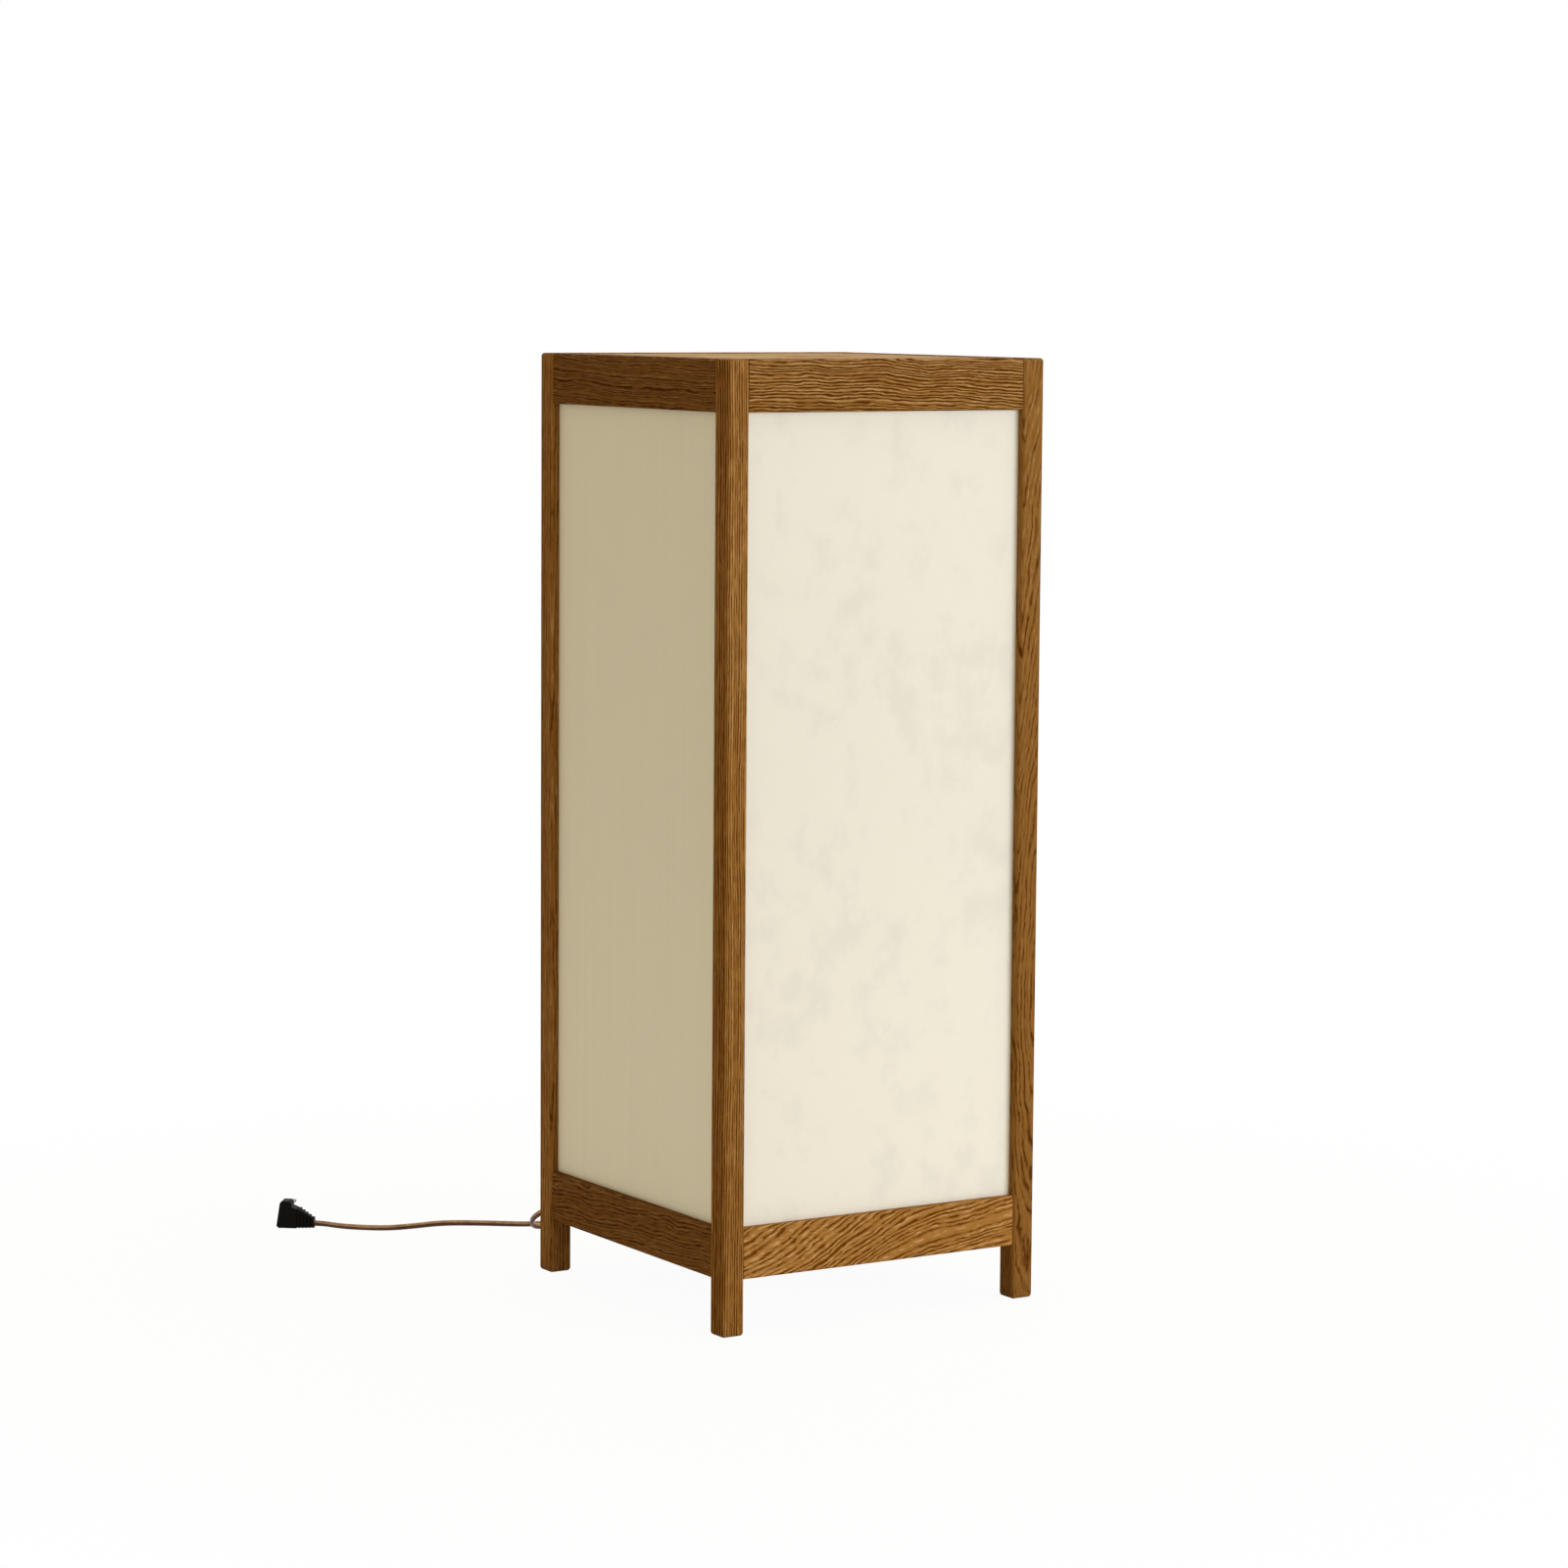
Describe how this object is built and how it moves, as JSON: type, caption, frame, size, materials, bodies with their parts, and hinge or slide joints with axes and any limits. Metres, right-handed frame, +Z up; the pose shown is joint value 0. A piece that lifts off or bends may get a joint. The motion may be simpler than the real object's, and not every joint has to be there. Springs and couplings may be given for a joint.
{
  "type": "andon floor lamp",
  "caption": "Square wooden floor lamp with paper sides, a lift-out top board, a bulb holder on a bar and a flat lead with a rocker switch and a plug.",
  "frame": {"origin": "on the floor under the middle of the wooden frame", "axes": "+Z up, -Y to the front, +X to the right; the lead leaves at the rear"},
  "size_m": [0.3534, 0.4919, 0.65],
  "materials": {
    "oak": "oiled, open grain",
    "top_veneer": "satin lacquer",
    "softwood": "sawn",
    "laminated_paper": "matt laminate with fine fibres",
    "steel_wire": "plain",
    "zinc_steel": "zinc plated",
    "white_phenolic": "gloss",
    "brass": "plain",
    "nickel_aluminium": "bright",
    "tinned_brass": "tinned",
    "black_insulator": "gloss",
    "white_housing": "satin",
    "opal_diffuser": "satin opal",
    "clear_brown_vinyl": "clear brown over stranded copper",
    "black_nylon": "satin",
    "brown_switch_plastic": "gloss",
    "black_rocker": "gloss",
    "black_vinyl": "soft sheen"
  },
  "bodies": {
    "frame": {"bar_cleat_front": "softwood", "bar_cleat_rear": "softwood", "bar_screws": "zinc_steel", "base_bar": "softwood", "cleat_screws": "zinc_steel", "coil_tie": "black_nylon", "cord_bush": "black_nylon", "cord_clip": "black_nylon", "cord_clip_screws": "zinc_steel", "cord_coil": "clear_brown_vinyl", "cord_coil_side": "clear_brown_vinyl", "cord_lamp_side": "clear_brown_vinyl", "cord_plug_side": "clear_brown_vinyl", "inner_lead": "clear_brown_vinyl", "lampholder_base": "white_phenolic", "lampholder_contact": "brass", "lampholder_screws": "zinc_steel", "lampholder_shell": "white_phenolic", "lampholder_sleeve": "brass", "lid_cleat_brads": "steel_wire", "lid_cleat_front": "softwood", "lid_cleat_left": "softwood", "lid_cleat_rear": "softwood", "lid_cleat_right": "softwood", "lower_rail_front": "oak", "lower_rail_left": "oak", "lower_rail_rear": "oak", "lower_rail_right": "oak", "paper_panel_front": "laminated_paper", "paper_panel_left": "laminated_paper", "paper_panel_rear": "laminated_paper", "paper_panel_right": "laminated_paper", "plug_blades": "brass", "plug_body": "black_vinyl", "plug_relief": "black_vinyl", "post_front_left": "oak", "post_front_right": "oak", "post_rear_left": "oak", "post_rear_right": "oak", "switch_contacts": "brass", "switch_lower_shell": "brown_switch_plastic", "switch_pin": "zinc_steel", "switch_screws": "zinc_steel", "switch_upper_shell": "brown_switch_plastic", "upper_rail_front": "oak", "upper_rail_left": "oak", "upper_rail_rear": "oak", "upper_rail_right": "oak"},
    "lid": {"top_board": "top_veneer"},
    "bulb": {"bulb_cap": "nickel_aluminium", "bulb_contact": "tinned_brass", "bulb_globe": "opal_diffuser", "bulb_housing": "white_housing", "bulb_insulator": "black_insulator"},
    "rocker": {"switch_rocker": "black_rocker"}
  },
  "joints": [
    {"name": "lid_lift", "type": "slide", "parent": "frame", "child": "lid", "axis": [0, 0, 1], "range_m": [0, 0.06]},
    {"name": "bulb_unscrew", "type": "slide", "parent": "frame", "child": "bulb", "axis": [0, 0, 1], "range_m": [0, 0.04]},
    {"name": "rocker_tip", "type": "hinge", "parent": "frame", "child": "rocker", "pos_m": [0.018, 0.243, 0.013], "axis": [0, 1, 0], "range_deg": [0, 16]}
  ]
}
